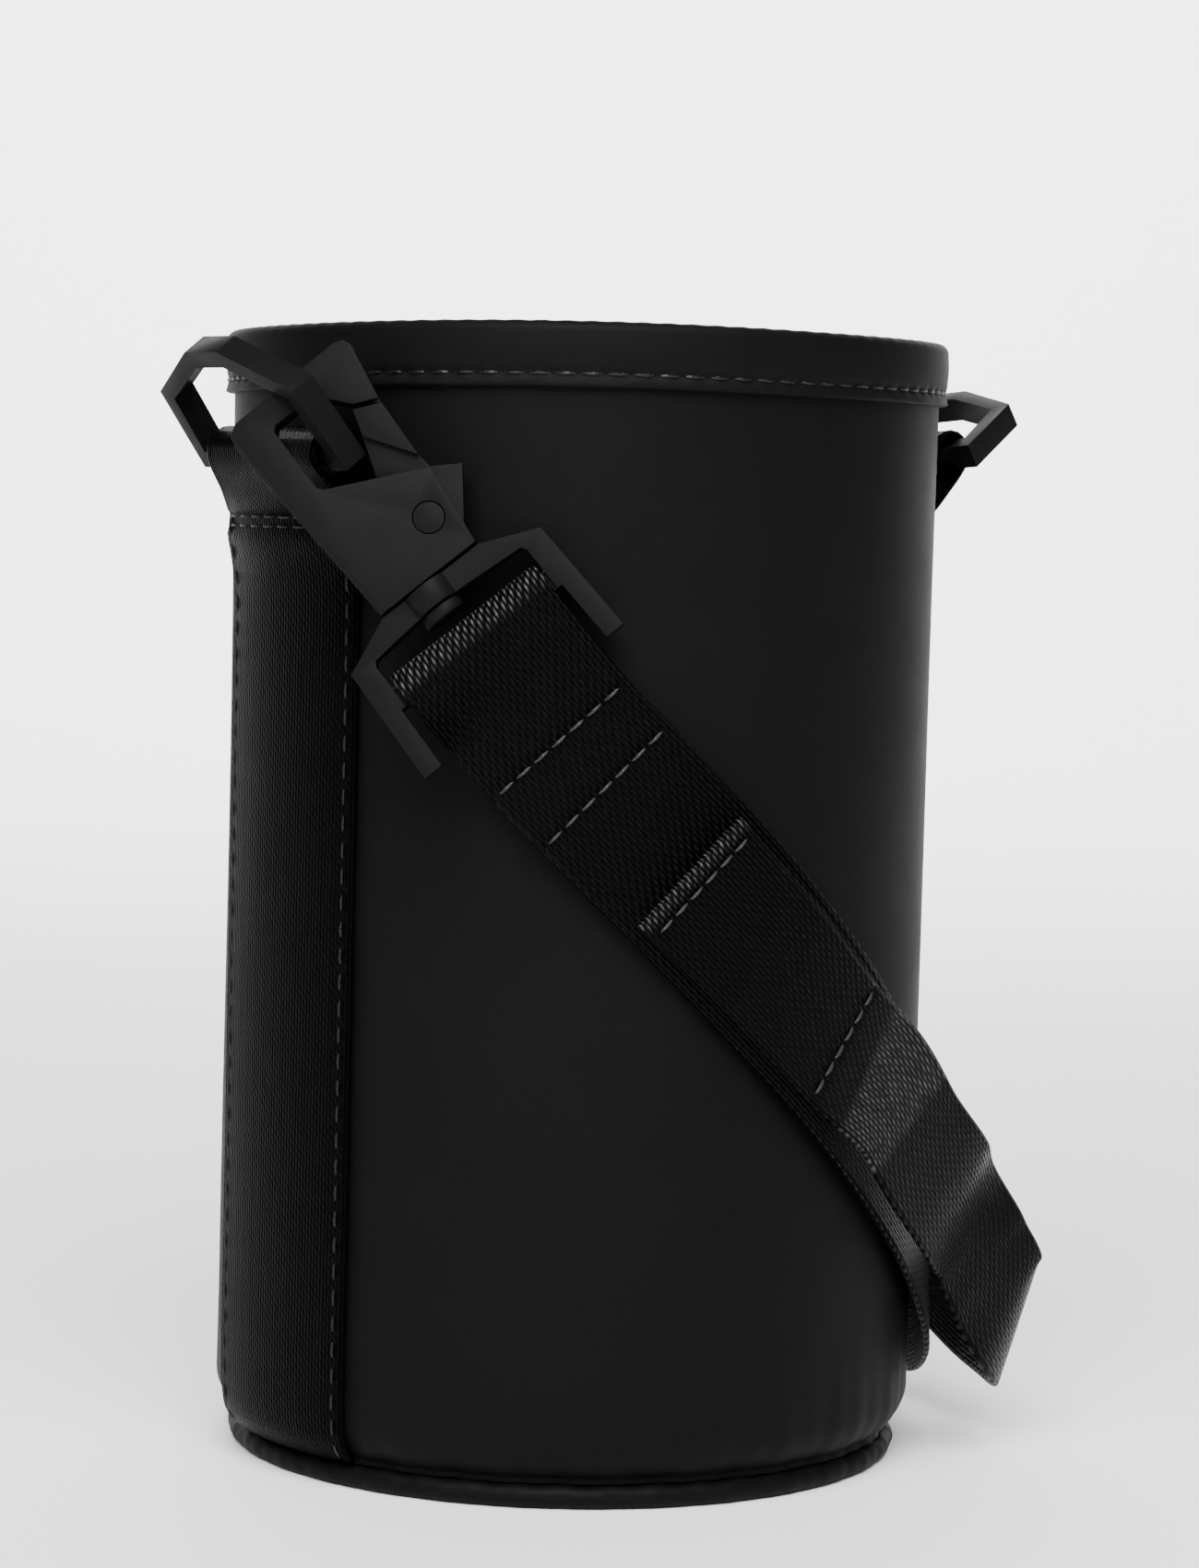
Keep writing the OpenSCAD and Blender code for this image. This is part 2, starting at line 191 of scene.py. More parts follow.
class Webbing:
    """A woven band: a grid of points on its middle surface, thickened, with rounded edges."""

    def __init__(self, grid, offsets, thick, facing):
        self.grid, self.offsets, self.thick, self.facing = grid, offsets, thick, facing
        along = np.gradient(grid, axis=0)
        over = np.gradient(grid, axis=1)
        n = np.cross(along, over)
        self.normals = facing * n / np.linalg.norm(n, axis=2, keepdims=True)
        mid = grid[:, len(offsets) // 2]
        self.run = np.concatenate(
            [[0], np.cumsum(np.linalg.norm(np.diff(mid, axis=0), axis=1))]
        )

    def at(self, s, a, lift=0.0):
        """The point on the front face at length s and offset a, and its normal."""
        i = np.interp(s, self.run, np.arange(len(self.run)))
        j = np.interp(a, self.offsets, np.arange(len(self.offsets)))
        i0, j0 = min(int(i), len(self.run) - 2), min(int(j), len(self.offsets) - 2)
        fi, fj = i - i0, j - j0

        def mix(g):
            low = g[i0, j0] * (1 - fj) + g[i0, j0 + 1] * fj
            high = g[i0 + 1, j0] * (1 - fj) + g[i0 + 1, j0 + 1] * fj
            return low * (1 - fi) + high * fi

        normal = unit(mix(self.normals))
        return mix(self.grid) + normal * (self.thick / 2 + lift), normal

    def build(self, name, material, dents=()):
        """The band's mesh, with dents pressed into both faces.

        A dent is (length or None, offset or None, width, depth); None runs it the whole way.
        """
        width = self.offsets[-1] - self.offsets[0]
        inset = np.clip(np.abs(self.offsets) - (width / 2 - self.thick / 2), 0, None)
        half = self.thick / 2 * np.sqrt(np.clip(1 - (inset / (self.thick / 2)) ** 2, 0.001, 1))
        rows, cols = self.grid.shape[:2]
        depth = np.zeros((rows, cols))
        for s, a, wide, deep in dents:
            near = np.abs(self.run - s)[:, None] if s is not None else np.zeros((rows, 1))
            side = np.abs(self.offsets - a)[None] if a is not None else np.zeros((1, cols))
            depth += deep * np.exp(-((near + side) / wide) ** 2)
        thick = np.clip(half[None] - depth, 0.02, None)[..., None]
        front = self.grid + self.normals * thick
        back = self.grid - self.normals * thick
        ring = np.concatenate([front, back[:, ::-1]], axis=1)
        turn_uv = np.concatenate([self.offsets, self.offsets[::-1]])
        uvs = [(u, v) for v in self.run for u in turn_uv]
        n = ring.shape[1]
        faces = wrap_faces(rows, n, False)
        for i, flip in ((0, False), (rows - 1, True)):
            for j in range(cols - 1):
                quad = (i * n + j, i * n + j + 1, i * n + n - 2 - j, i * n + n - 1 - j)
                faces.append(quad[::-1] if flip else quad)
        if self.facing < 0:
            faces = [face[::-1] for face in faces]
        return make(name, ring.reshape(-1, 3), faces, material, uvs)


def flat_band(centres, widths, width, thick):
    """Webbing through stations of centre and width direction, flat across."""
    along = np.gradient(centres, axis=0)
    along /= np.linalg.norm(along, axis=1, keepdims=True)
    over = widths - along * np.sum(widths * along, axis=1, keepdims=True)
    over /= np.linalg.norm(over, axis=1, keepdims=True)
    offsets = across_offsets(width, thick)
    grid = centres[:, None] + over[:, None] * offsets[None, :, None]
    return Webbing(grid, offsets, thick, 1)


def sew(name, seams, material, pitch, dash, radius, sink=0.3):
    """Rows of stitches that dip in at both ends; each seam is a list of (point, normal)."""
    verts, faces = [], []
    for seam in seams:
        pts = np.array([p for p, _ in seam])
        nor = np.array([n for _, n in seam])
        run = np.concatenate([[0], np.cumsum(np.linalg.norm(np.diff(pts, axis=0), axis=1))])
        count = max(1, round(run[-1] / pitch))
        step = run[-1] / count
        for k in range(count):
            start = k * step + (step - dash) / 2
            base = len(verts)
            for t in np.linspace(0, 1, 9):
                s = start + dash * t
                here = np.array([np.interp(s, run, pts[:, c]) for c in range(3)])
                ahead = np.array([np.interp(s + 0.3, run, pts[:, c]) for c in range(3)])
                back = np.array([np.interp(s - 0.3, run, pts[:, c]) for c in range(3)])
                n = unit(np.array([np.interp(s, run, nor[:, c]) for c in range(3)]))
                t_dir = unit(ahead - back)
                side = unit(np.cross(t_dir, n))
                rise = math.sin(math.pi * t) ** 0.6
                r = radius * (0.45 + 0.55 * rise)
                centre = here + n * (radius * 0.35 - sink * (1 - rise))
                for q in range(8):
                    a = 2 * math.pi * q / 8
                    verts.append(centre + side * r * math.cos(a) + n * r * 0.85 * math.sin(a))
            faces += [tuple(base + f for f in face) for face in wrap_faces(9, 8, False)]
            faces.append(tuple(base + q for q in range(7, -1, -1)))
            faces.append(tuple(base + 64 + q for q in range(8)))
    return make(name, verts, faces, material)


# ---- Materials ----

class Look:
    """A node material with a Principled shader, and short calls for the nodes it needs."""

    def __init__(self, name):
        self.mat = bpy.data.materials.new(name)
        self.mat.use_nodes = True
        self.tree = self.mat.node_tree
        self.shader = self.tree.nodes["Principled BSDF"]

    def node(self, kind, inputs=(), **settings):
        n = self.tree.nodes.new(kind)
        for key, value in settings.items():
            setattr(n, key, value)
        for key, value in dict(inputs).items():
            self.feed(n.inputs[key], value)
        return n

    def feed(self, socket, value):
        if isinstance(value, bpy.types.NodeSocket):
            self.tree.links.new(value, socket)
        else:
            socket.default_value = value

    def math(self, operation, a, b=0.0, clamp=False):
        return self.node(
            "ShaderNodeMath", {0: a, 1: b}, operation=operation, use_clamp=clamp
        ).outputs[0]

    def place(self):
        return self.node("ShaderNodeTexCoord").outputs["Object"]

    def noise(self, scale, detail=3.0, rough=0.55, vector=None):
        """Noise whose features are about 1 / scale metres across."""
        return self.node(
            "ShaderNodeTexNoise",
            {
                "Vector": vector or self.place(),
                "Scale": scale,
                "Detail": detail,
                "Roughness": rough,
            },
        ).outputs["Fac"]

    def spread(self, value, low, high, start=0.0, end=1.0):
        """Maps start..end of value to low..high."""
        return self.node(
            "ShaderNodeMapRange",
            {"Value": value, "From Min": start, "From Max": end, "To Min": low, "To Max": high},
        ).outputs["Result"]

    def tint(self, value, dark, light):
        return self.mix(value, (*dark, 1), (*light, 1))

    def mix(self, value, under, over):
        blend = self.node("ShaderNodeMix", {"Factor": value}, data_type="RGBA")
        self.feed(blend.inputs["A"], under)
        self.feed(blend.inputs["B"], over)
        return blend.outputs["Result"]

    def bump(self, height, distance, strength=1.0, under=None):
        inputs = {"Height": height, "Distance": distance, "Strength": strength}
        if under is not None:
            inputs["Normal"] = under
        return self.node("ShaderNodeBump", inputs).outputs["Normal"]

    def set(self, **values):
        names = {
            "color": "Base Color",
            "rough": "Roughness",
            "metal": "Metallic",
            "normal": "Normal",
            "specular": "Specular IOR Level",
            "sheen": "Sheen Weight",
            "sheen_rough": "Sheen Roughness",
            "grain": "Anisotropic",
            "coat": "Coat Weight",
            "coat_rough": "Coat Roughness",
        }
        for key, value in values.items():
            self.feed(self.shader.inputs[names[key]], value)
        return self.mat


def coated_cloth():
    look = Look("coated_cloth")
    grain = look.noise(4200, 2)
    pores = look.node(
        "ShaderNodeTexVoronoi", {"Vector": look.place(), "Scale": 2600}
    ).outputs["Distance"]
    clouds = look.noise(45, 4)
    wave = look.noise(16, 2)
    normal = look.bump(wave, 0.0006, 0.25)
    normal = look.bump(look.math("ADD", grain, pores), 0.00004, 0.35, normal)
    return look.set(
        color=look.tint(clouds, (0.0020, 0.0020, 0.0021), (0.0034, 0.0035, 0.0037)),
        rough=look.spread(look.math("ADD", clouds, grain), 0.50, 0.66, 0.6, 1.4),
        specular=0.05,
        normal=normal,
    )


def webbing(name, column, row, depth, shine, draw_marks_and_painted_glints=()):
    """Nylon webbing: columns of floats, each half a row on from its neighbour, in UV millimetres.

    Each stretch (start, end) in the last argument gets a painted highlight: its float tops are
    painted bright, standing in for glints where the band bends.
    """
    look = Look(name)
    uv = look.node("ShaderNodeUVMap", uv_map="cloth").outputs["UV"]
    axes = look.node("ShaderNodeSeparateXYZ", {"Vector": uv})
    across = look.math("DIVIDE", axes.outputs["X"], column)
    wobble = look.math("MULTIPLY", look.noise(900, 2), 0.12)
    along = look.math("ADD", look.math("DIVIDE", axes.outputs["Y"], row), wobble)
    index = look.math("FLOOR", across)
    shift = look.math("MULTIPLY", index, 0.5)
    in_column = look.math("FRACT", across)
    in_row = look.math("FRACT", look.math("ADD", along, shift))
    # A float is round across, and rises and dips along its length on a slant
    rib = look.math("SINE", look.math("MULTIPLY", in_column, math.pi))
    slant = look.math("ADD", in_row, look.math("MULTIPLY", in_column, 0.45))
    hump = look.math("PINGPONG", slant, 0.5)
    hump = look.math("POWER", look.math("MULTIPLY", hump, 2.0, clamp=True), 0.6)
    height = look.math("MULTIPLY", rib, look.spread(hump, 0.25, 1.0))
    fibres = look.noise(5200, 2)
    height = look.math("ADD", height, look.math("MULTIPLY", fibres, 0.18))
    uneven = look.noise(60, 3)
    # Painted shade and highlight: the weave's colour follows its relief, darker down in the gaps
    # between floats and lighter on their tops; the uneven noise adds random tone.
    color = look.tint(
        look.math("MULTIPLY", height, look.spread(uneven, 0.6, 1.2), clamp=True),
        (0.0001, 0.0001, 0.0001),
        (0.0015, 0.0015, 0.0016),
    )
    # Painted highlight: in each given stretch the float tops are painted bright, standing in for
    # glints where the band bends.
    tops = look.math("POWER", look.math("MULTIPLY", rib, hump), 2.5)
    tops = look.math("MULTIPLY", tops, look.spread(look.noise(700, 2), 0.2, 1.4, 0.3, 0.7))
    for start, end in draw_marks_and_painted_glints:
        rise = look.spread(axes.outputs["Y"], 0, 1, start - 1.2, start + 0.6)
        fall = look.spread(axes.outputs["Y"], 1, 0, end - 0.6, end + 1.2)
        painted_glint_tops = look.math("MULTIPLY", tops, look.math("MULTIPLY", rise, fall))
        color = look.mix(painted_glint_tops, color, (0.11, 0.11, 0.115, 1))
    return look.set(
        color=color,
        rough=look.spread(fibres, 0.24, 0.40),
        specular=shine,
                grain=0.5,
        normal=look.bump(height, depth, 1.0),
    )


def hardware(name, light):
    look = Look(name)
    peel = look.noise(2600, 3)
    soft = look.noise(300, 2)
    clouds = look.noise(90, 4)
    normal = look.bump(soft, 0.00006, 0.25)
    normal = look.bump(peel, 0.00003, 0.35, normal)
    return look.set(
        color=look.tint(clouds, (light * 0.86,) * 2 + (light * 0.9,), (light, light, light * 1.06)),
        rough=look.spread(look.math("ADD", clouds, peel), 0.46, 0.62, 0.6, 1.4),
        specular=0.06,
        normal=normal,
    )


def thread(name, light, shine):
    look = Look(name)
    ply = look.node(
        "ShaderNodeTexWave",
        {"Vector": look.place(), "Scale": 900, "Distortion": 2.0, "Detail": 2.0},
        bands_direction="DIAGONAL",
    ).outputs["Fac"]
    return look.set(
        color=look.tint(ply, (light / 5,) * 3, (light,) * 3),
        rough=look.spread(ply, 0.28, 0.45),
        specular=shine,
        normal=look.bump(ply, 0.00008, 0.8),
    )


def board():
    look = Look("base_board")
    fibre = look.noise(700, 5)
    return look.set(
        color=look.tint(fibre, (0.006, 0.006, 0.006), (0.013, 0.013, 0.013)),
        rough=look.spread(fibre, 0.6, 0.8),
        normal=look.bump(fibre, 0.0001, 0.5),
    )


def wire():
    look = Look("spring_wire")
    draw_marks_and_painted_glints = look.noise(3000, 3)
    return look.set(
        color=look.tint(draw_marks_and_painted_glints, (0.35, 0.35, 0.36), (0.5, 0.5, 0.51)),
        rough=look.spread(draw_marks_and_painted_glints, 0.25, 0.4),
        metal=1.0,
        grain=0.4,
        normal=look.bump(draw_marks_and_painted_glints, 0.00002, 0.4),
    )


CLOTH = coated_cloth()
SIDE_WEB = webbing("side_webbing", 0.75, 1.6, 0.0004, 0.015)
BINDING = webbing("binding", 0.9, 1.3, 0.00014, 0.1)
HARDWARE = hardware("black_hardware", 0.0036)
THREAD = thread("black_thread", 0.005, 0.22)
# The strap's thread is the same black thread in a lighter copy: its raised colour is a painted
# highlight standing in for the glints on the strap's stitches.
STRAP_THREAD = thread("strap_thread", 0.013, 0.38)
BOARD = board()
WIRE = wire()


def finish_piece(piece, body, slot, *nodes):
    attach(piece, body)
    if nodes:
        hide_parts(*nodes)
    return piece


# ---- The bag's wall, hem and base ----

def sag(angle):
    """How far the rim lies below its full height, round the bag."""
    back = math.cos(math.radians(angle + 118))
    return 0.35 * (1 + back) + 0.25 * math.sin(math.radians(3 * angle + 40))


def give(angle, z):
    """The slight unevenness of the standing cloth."""
    a = math.radians(angle)
    body = 0.30 * math.sin(2 * a + 0.8 + z / 90) + 0.16 * math.sin(5 * a - z / 40)
    low = max(0.0, 1 - (z - 5) / 22)
    puckers = low * (0.20 * math.sin(23 * a + 1.1) + 0.12 * math.sin(61 * a))
    return body * math.sin(math.pi * min(1, z / BAG_H)) + puckers


def wall_shape(angle, r, z):
    drop = sag(angle) * (z / BAG_H) ** 4
    return r + give(angle, z), z - drop


foot_x = FOOT_R - 8
outer = [(57.9, 4.1), (58.8, 4.25)]
outer += arc(foot_x, FOOT_Z, 8, -62, 0, 12)
outer += [
    (FOOT_R + (RIM_R - FOOT_R) * t, FOOT_Z + (BAG_H - 1.7 - FOOT_Z) * t)
    for t in np.linspace(0.03, 1, 40)
]
inner = [
    (FOOT_R + (RIM_R - FOOT_R) * t - WALL_T, FOOT_Z + (BAG_H - 1.7 - FOOT_Z) * t)
    for t in np.linspace(1, 0.03, 16)
]
inner += arc(foot_x, FOOT_Z, 8 - WALL_T, 0, -62, 8)
wall = revolve("bag_wall", outer + inner, 420, CLOTH, wall_shape)
finish_piece(wall, "bag", "coated_cloth", "front_panel", "back_panel")

# The hem: a folded band over the rim, drawn in along its stitch row
row_z = BAG_H - 8.7
hem_out = RIM_R + 0.3 + 1.0
hem_in = RIM_R - WALL_T - 0.3 - 1.0


def hem_shape(angle, r, z):
    outside = r > RIM_R - WALL_T / 2
    side = 1 if outside else -1
    phase = math.cos(math.radians(angle * RIM_STITCHES))
    pinch = math.exp(-((z - row_z) / 0.75) ** 2)
    puff = math.exp(-((z - (row_z + 4.2)) / 2.6) ** 2)
    lip = math.exp(-((z - (BAG_H - HEM_H)) / 0.9) ** 2)
    wave = 0.10 * math.sin(math.radians(angle * 17)) + 0.07 * math.sin(math.radians(angle * 41))
    r += side * (0.22 * puff - pinch * (0.38 + 0.16 * phase) + lip * (0.10 + wave))
    z -= sag(angle) + 0.05 * phase * math.exp(-((z - BAG_H) / 3) ** 2)
    return r + give(angle, min(z, BAG_H - 1)), z


hem_profile = [(hem_out - 1.0, BAG_H - HEM_H + 0.2), (hem_out - 0.45, BAG_H - HEM_H)]
hem_profile += [(hem_out, z) for z in np.linspace(BAG_H - HEM_H + 0.3, BAG_H - 1.8, 22)]
hem_profile += arc(hem_out - 1.7, BAG_H - 1.7, 1.7, 10, 90, 6)
hem_profile += arc(hem_in + 1.7, BAG_H - 1.7, 1.7, 90, 170, 6)
hem_profile += [(hem_in, z) for z in np.linspace(BAG_H - 1.8, BAG_H - HEM_H + 0.3, 16)]
hem_profile += [(hem_in + 0.45, BAG_H - HEM_H), (hem_in + 1.0, BAG_H - HEM_H + 0.2)]
hem = revolve("rim_hem_cloth", hem_profile, RIM_STITCHES * 6, CLOTH, hem_shape)
finish_piece(hem, "bag", "coated_cloth", "rim_hem")


def rim_seam(radius, side):
    seam = []
    for k in range(RIM_STITCHES * 4 + 1):
        a = 360 * k / (RIM_STITCHES * 4)
        r = radius + give(a, BAG_H - 10) - side * 0.28
        seam.append((round_bag(a, r, row_z - sag(a)), side * round_bag(a, 1, 0)))
    return seam


pitch = 2 * math.pi * hem_out / RIM_STITCHES
rim_stitches = sew(
    "rim_stitches",
    [rim_seam(hem_out, 1), rim_seam(hem_in, -1)],
    THREAD, pitch, pitch * 0.74, 0.30,
)
finish_piece(rim_stitches, "bag", "coated_cloth")


# The piping: cloth drawn over a cord, slightly uneven and lower where it is pressed
def piping_shape(angle, r, z):
    a = math.radians(angle)
    out = 0.10 * math.sin(31 * a) + 0.07 * math.sin(83 * a + 1)
    top = max(0.0, (z - PIPING_R) / PIPING_R)
    return r + out * max(0.0, (r - PIPING_AT) / PIPING_R), z + top * 0.12 * math.sin(47 * a)


piping = revolve(
    "base_piping", arc(PIPING_AT, PIPING_R, PIPING_R, -180, 171, 39), 480, CLOTH, piping_shape
)
finish_piece(piping, "bag", "coated_cloth", "piping_cover")


base_profile = [(0.02, 0.0), (20, 0.0), (40, 0.0), (53.6, 0.0), (54.3, 0.2), (54.6, 0.7)]
base_profile += [(54.3, 1.2), (53.6, 1.4), (40, 1.4), (20, 1.4), (0.02, 1.4)]
base = revolve("base_cloth", base_profile, 180, CLOTH)
finish_piece(base, "bag", "coated_cloth", "base_panel")


# ---- Side webbings ----

def side_webbing(side, pose):
    """Webbing sewn up the wall, folded into a loop round the ring's base bar."""
    middle = 90 * side
    bar = np.array(pose[0], float) - np.array([side * 0.3, 0, 0])
    tilt = aim(pose, (1, 0, 0))
    tilt = tilt / tilt[1]
    turn_r = LOOP_R + WEB_T / 2
    stack = RIM_R + 0.2 + WEB_T / 2
    low = STITCH_Z - 5
    # Stations of (distance out, height), and how far the band has left the wall
    route = [
        (stack - 0.1, low, 0), (stack, STITCH_Z, 0.05),
        (abs(bar[0]) - turn_r * 0.86, bar[2] - turn_r * 0.5, 0.9),
    ]
    for a in (150, 110, 70, 30, -10):
        route.append((
            abs(bar[0]) + turn_r * math.cos(math.radians(a)),
            bar[2] + turn_r * math.sin(math.radians(a)),
            1,
        ))
    route += [
        (
            (abs(bar[0]) + turn_r * 0.7 + stack + 1.2) / 2,
            (bar[2] - turn_r * 0.6 + STITCH_Z) / 2,
            0.6,
        ),
        (stack + 1.5, STITCH_Z, 0.05), (stack + 1.45, low + 1.5, 0), (stack + 0.6, low - 3, 0),
        (stack, low - 8, 0),
    ]
    for z in (140, 115, 90, 65, 40, 20):
        route.append((FOOT_R + (RIM_R - FOOT_R) * z / BAG_H + 0.3 + WEB_T / 2, z, 0))
    route += [(FOOT_R + 0.85, 12, 0), (FOOT_R + 0.2, 8.2, 0)]
    route += [(FOOT_R - 1.6, 5.6, 0), (FOOT_R - 2.6, 4.9, 0)]
    pts, marks = curve_through([(r, z, 0, f) for r, z, f in route], 1.2)
    rows = []
    for r, z, _, free in pts:
        free = min(1, max(0, free))
        width = SIDE_WEB_W * (1 - free) + LOOP_W * free
        offsets = across_offsets(width, WEB_T)
        line = []
        for a in offsets:
            on_wall = round_bag(middle + math.degrees(a / RIM_R) * side, r, z)
            on_bar = np.array([side * r, bar[1], z]) + tilt * a
            line.append(on_wall * (1 - free) + on_bar * free)
        rows.append(line)
    return Webbing(np.array(rows), across_offsets(SIDE_WEB_W, WEB_T), WEB_T, -1), marks


def side_seams(band, marks):
    """Two rows near the edges, from the stitched cross row down to the foot, and the cross row."""
    start, end = band.run[marks[9]], band.run[-1] - 1
    seams = [
        [band.at(s, a, -0.12) for s in np.linspace(start, end, 160)]
        for a in (-SIDE_WEB_W / 2 + 2, SIDE_WEB_W / 2 - 2)
    ]
    for down in (0.4, 2.2):
        seams.append([band.at(start + down, a, -0.15) for a in np.linspace(-17.5, 17.5, 30)])
    return seams


for side, word, pose in ((-1, "left", RING_L), (1, "right", RING_R)):
    band, marks = side_webbing(side, pose)
    start = band.run[marks[9]]
    dents = [(start + 0.4, None, 0.9, 0.34), (start + 2.2, None, 0.7, 0.22)]
    dents += [(None, a, 0.8, 0.16) for a in (-SIDE_WEB_W / 2 + 2, SIDE_WEB_W / 2 - 2)]
    piece = band.build(f"side_webbing_{word}_woven", SIDE_WEB, dents)
    finish_piece(piece, "bag", "black_webbing", f"side_webbing_{word}")
    piece = sew(f"side_stitches_{word}", side_seams(band, marks), THREAD, 4.5, 3.4, 0.24)
    finish_piece(piece, "bag", "black_webbing")


# ---- The strap ----

# Stations of angle, radius, height, slant of the width, tip of the width
MAIN_RUN = [
    (-39.7, 67, 129.5, 43, 0), (-33, 66.5, 122, 43, 0), (-20.5, 65.2, 108.4, 43, 0),
    (-7, 64.6, 93.6, 43, 0), (7, 64.6, 78.6, 43, 0), (20, 64.6, 64.5, 43, 0),
    (34, 64.7, 50, 42, 0), (47, 65, 37.5, 38, 0), (59, 66, 28.5, 30, 2),
    (71, 67.5, 24, 5, 4), (83, 69, 26, -24, 6), (93, 69.5, 36, -51, 5),
    (101, 69.2, 54, -70, 3), (105, 68.9, 74, -81, 1), (106.8, 70.7, 92, -87, 0),
    (107, 75.2, 108, -90, 0), (106.6, 80.2, 123, -91, 0),
]
TOP_RUN = [
    (-20.5, 66.9, 108.4, 43, 0), (-7, 66.3, 93.6, 43, 0), (7, 66.3, 78.6, 43, 0),
    (18, 67.6, 69, 42, 3), (25, 69.9, 58.5, 41, 8), (33, 72.6, 49.1, 40, 15),
    (41, 73.2, 42.8, 37, 15), (44.5, 77, 34.1, 31, 17), (48, 80.9, 25.5, 24, 18),
    (53, 82.2, 22.6, 18, 18), (61, 81.5, 22.2, 6, 16), (69, 79.5, 24.2, -6, 13),
    (78, 76.5, 31, -18, 10), (90, 73.8, 45, -42, 6), (99, 71.9, 60, -66, 3),
    (104, 71, 75, -79, 1), (106.8, 72.9, 92, -87, 0),
]


def station(s):
    """Centre and width direction of a station."""
    angle, radius, height, slant, tip = s
    slant, tip = math.radians(slant), math.radians(tip)
    out = round_bag(angle, 1, 0)
    around = np.array([-out[1], out[0], 0])
    width = math.cos(tip) * (math.cos(slant) * UP + math.sin(slant) * around)
    return np.concatenate([round_bag(angle, radius, height), width + math.sin(tip) * out])


def bar_turn(pose, start, end, steps, width):
    """Stations round the frame's bar."""
    out = []
    for i in range(steps + 1):
        a = math.radians(start + (end - start) * i / steps)
        centre = put(pose, (0, BAR_WEB_R * math.cos(a), BAR_Z + BAR_WEB_R * math.sin(a)))
        out.append(np.concatenate([centre, width]))
    return out


left_w, right_w = aim(HOOK_L, (1, 0, 0)), aim(HOOK_R, (-1, 0, 0))
LEFT_FOLD = [(-24, 64.8, 112.2, 43, 0), (-30, 64.8, 118.7, 43, 0), (-37, 64.9, 126.3, 43, 0)]
left_end = [station(s) for s in LEFT_FOLD]
right_end = [
    np.concatenate([round_bag(*p), right_w])
    for p in ((106.6, 78.4, 124), (107, 74.9, 113), (107, 71.7, 103))
]
stations = (
    left_end
    + bar_turn(HOOK_L, -20, 200, 8, left_w)
    + [station(s) for s in MAIN_RUN]
    + bar_turn(HOOK_R, 200, -20, 8, right_w)
    + right_end
)
pts, marks = curve_through(stations, 1.3)
main = flat_band(pts[:, :3], pts[:, 3:], STRAP_W, WEB_T)
first = len(left_end) + 9
row_a, row_b = main.run[marks[first]], main.run[marks[first + 1]]
# Painted highlight on the strap's float tops where it wraps the left hook's bar.
bar_wrap_painted_glint = [(main.run[marks[6]], main.run[marks[10]])]
STRAP_WEB = webbing("strap_webbing", 0.80, 2.20, 0.0009, 0.06, bar_wrap_painted_glint)
piece = main.build("strap_woven", STRAP_WEB, [(row_a, None, 1.1, 0.3), (row_b, None, 1.1, 0.3)])
finish_piece(piece, "bag", "black_webbing", "strap_webbing")

pts, top_marks = curve_through([station(s) for s in TOP_RUN], 1.3)
top = flat_band(pts[:, :3], pts[:, 3:], TOP_WEB_W, WEB_T)
row_c, row_d = 3.4, top.run[top_marks[2]]
bow = top.run[top_marks[3]]
# Painted highlights on the top layer's float tops: at its start, and round its bow.
top_painted_glints = [(-2, 1.4), (bow - 8, bow + 7)]
TOP_WEB = webbing("top_webbing", 0.80, 2.20, 0.0009, 0.06, top_painted_glints)
piece = top.build("strap_top_woven", TOP_WEB, [(row_c, None, 1.0, 0.28), (row_d, None, 1.0, 0.28)])
finish_piece(piece, "bag", "black_webbing", "strap_top_layer")

seams = [[main.at(s, a, -0.15) for a in np.linspace(-13.5, 13.5, 30)] for s in (row_a, row_b)]
seams += [[top.at(s, a, -0.15) for a in np.linspace(-11, 11, 26)] for s in (row_c, row_d)]
piece = sew("strap_stitches", seams, STRAP_THREAD, 3.75, 2.9, 0.3)
finish_piece(piece, "bag", "black_webbing")


# ---- Hardware: the CAD shapes with their edges eased ----

def eased(node, body, width, segments=3):
    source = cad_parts[node]
    piece = bpy.data.objects.new(f"{node}_eased", source.data.copy())
    bpy.context.collection.objects.link(piece)
    piece.data.materials.clear()
    piece.data.materials.append(HARDWARE)
    weld = piece.modifiers.new("weld", "WELD")
    weld.merge_threshold = 0.00001
    flat = piece.modifiers.new("flat", "DECIMATE")
    flat.decimate_type = "DISSOLVE"
    flat.angle_limit = math.radians(1)
    bevel = piece.modifiers.new("ease", "BEVEL")
    bevel.width = width * MM
    bevel.segments = segments
    bevel.limit_method = "ANGLE"
    bevel.angle_limit = math.radians(28)
    bevel.harden_normals = True
    piece.data.polygons.foreach_set("use_smooth", [True] * len(piece.data.polygons))
    return finish_piece(piece, body, "black_hardware", node)


for word in ("left", "right"):
    eased(f"ring_{word}", f"ring_{word}", 0.55, 4)
    eased(f"swivel_frame_{word}", "bag", 0.3)
    eased(f"hook_body_{word}", f"hook_{word}", 0.35)
    eased(f"gate_{word}", f"gate_{word}", 0.22)
    eased(f"gate_pin_{word}", f"hook_{word}", 0.15)
    eased(f"swivel_stud_{word}", f"hook_{word}", 0.25)

# The hidden CAD pieces keep their shapes and get their own looks
for node, material in (
    ("base_board", BOARD),
    ("base_seam_tape", BINDING),
    ("piping_cord", BOARD),
    ("gate_spring_left", WIRE),
    ("gate_spring_right", WIRE),
):
    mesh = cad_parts[node].data
    mesh.materials.clear()
    mesh.materials.append(material)


# ---- Floor, light and camera ----

def pale_floor():
    look = Look("pale_floor")
    return look.set(
        color=look.tint(look.noise(3, 2), (0.90, 0.90, 0.90), (0.93, 0.93, 0.93)), rough=0.75
    )


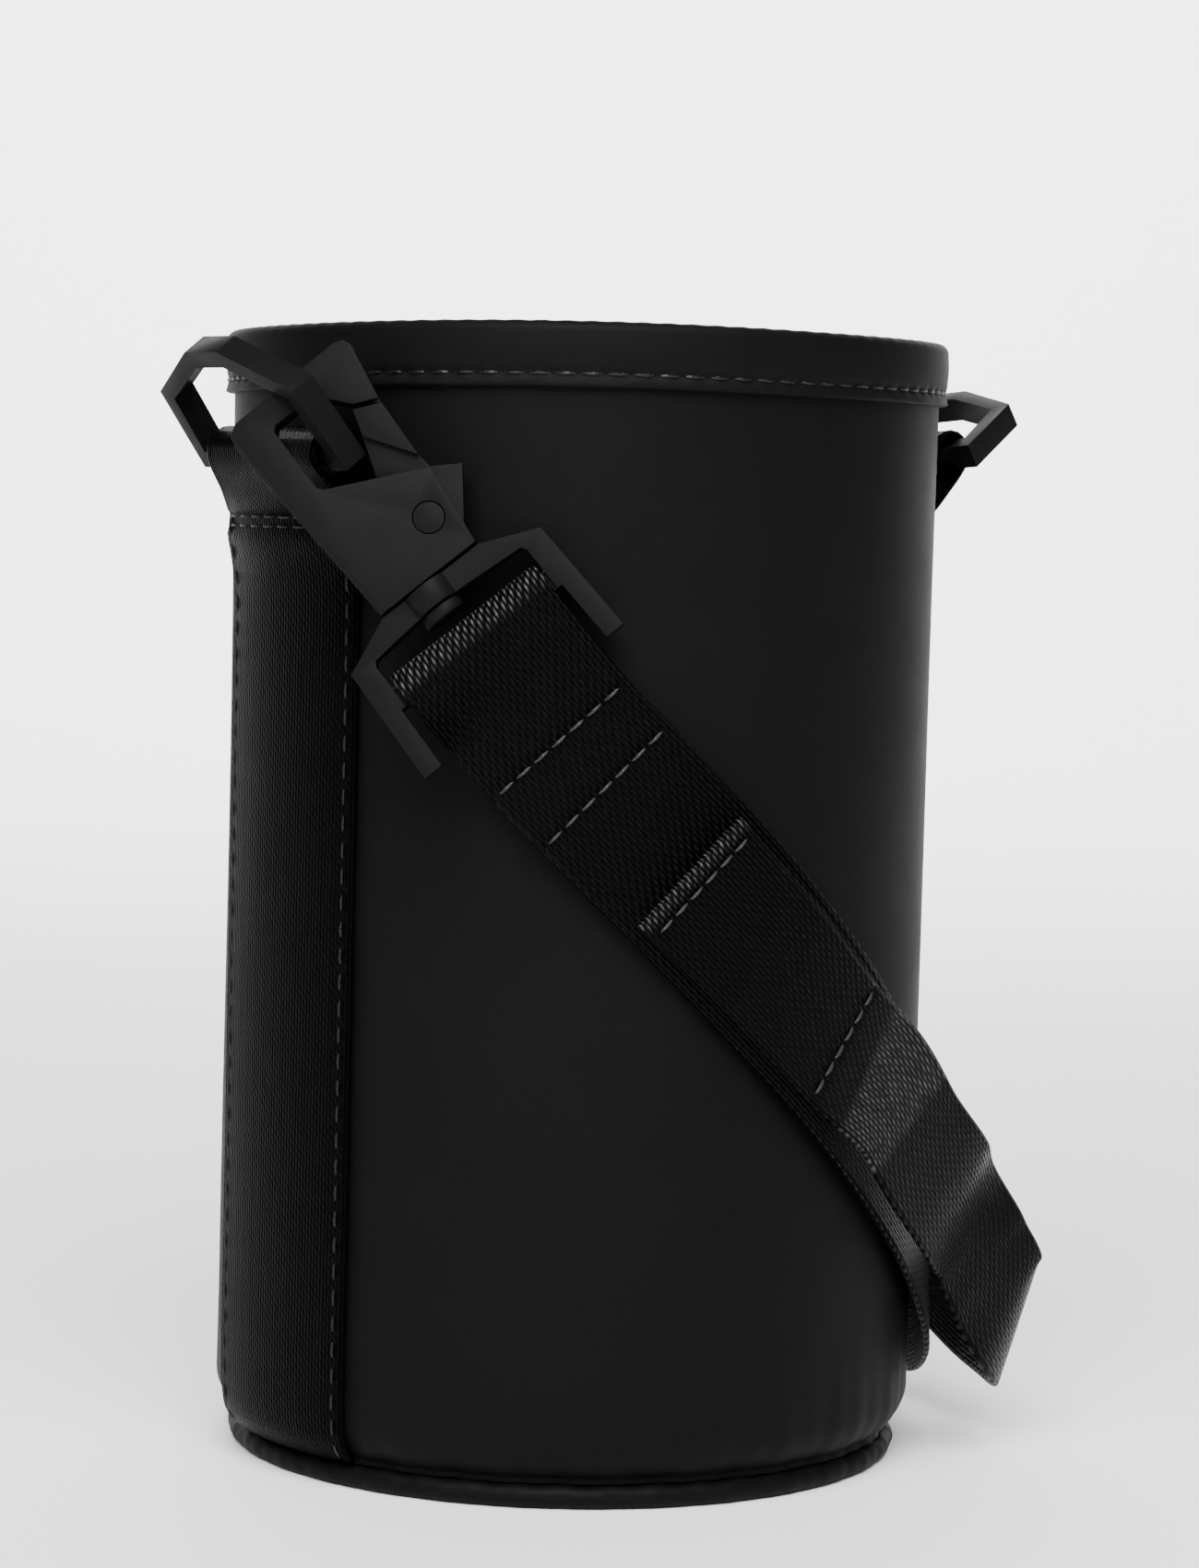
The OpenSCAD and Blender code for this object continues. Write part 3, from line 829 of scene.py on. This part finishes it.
reach = 6000
floor_rows = [(d, -0.05) for d in (-2500, -1200, 0, 600, 1200)]
floor_rows += [(1700, 60), (2050, 330), (2200, 800), (2250, 3500)]
floor_verts = []
view = np.array([math.sin(math.radians(37)), math.cos(math.radians(37)), 0])
sideways = np.array([view[1], -view[0], 0])
rows, _ = curve_through([(d, z, 0) for d, z in floor_rows], 120)
for d, z, _ in rows:
    for w in (-reach, reach):
        floor_verts.append(view * d + sideways * w + UP * z)
floor_faces = [(2 * i, 2 * i + 1, 2 * i + 3, 2 * i + 2) for i in range(len(rows) - 1)]
floor = make("studio_floor", floor_verts, floor_faces, pale_floor())


def area_light(name, at, target, size, power):
    lamp = bpy.data.lights.new(name, "AREA")
    lamp.shape = "RECTANGLE"
    lamp.size, lamp.size_y = size
    lamp.energy = power
    obj = bpy.data.objects.new(name, lamp)
    obj.location = at
    obj.rotation_mode = "QUATERNION"
    obj.rotation_quaternion = (Vector(target) - Vector(at)).to_track_quat("-Z", "Y")
    bpy.context.collection.objects.link(obj)


area_light("overhead", (-0.75, -0.95, 1.5), (0.1, 0.1, 0), (1.5, 1.5), 105)
area_light("front_left", (-1.3, -0.9, 0.7), (0, 0, 0.1), (0.5, 1.0), 5)
area_light("backdrop", (0.9, 1.2, 1.6), (1.5, 2.0, 0.8), (2.5, 1.0), 120)

world = bpy.data.worlds.new("studio")
world.use_nodes = True
world.node_tree.nodes["Background"].inputs["Color"].default_value = (1, 1, 1, 1)
world.node_tree.nodes["Background"].inputs["Strength"].default_value = 0.2
bpy.context.scene.world = world

azimuth, pitch_up, roll = math.radians(-37), math.radians(-3.6), math.radians(1.52)
ahead = np.array([-math.sin(azimuth), math.cos(azimuth), 0])
right = np.array([math.cos(azimuth), math.sin(azimuth), 0])
aside = math.radians(0.314)
ahead = ahead * math.cos(aside) + right * math.sin(aside)
right = np.cross(ahead, UP)
ahead = ahead * math.cos(pitch_up) + UP * math.sin(pitch_up)
upward = np.cross(right, ahead)
right = right * math.cos(roll) + upward * math.sin(roll)
upward = np.cross(right, ahead)

lens = bpy.data.cameras.new("camera")
lens.sensor_width = 36
lens.lens = 94.55
camera = bpy.data.objects.new("camera", lens)
turned = Matrix([right, upward, -ahead]).transposed().to_4x4()
place = Matrix.Translation((0.741 * math.sin(azimuth), -0.741 * math.cos(azimuth), 0.165))
camera.matrix_world = place @ turned
bpy.context.collection.objects.link(camera)
bpy.context.scene.camera = camera
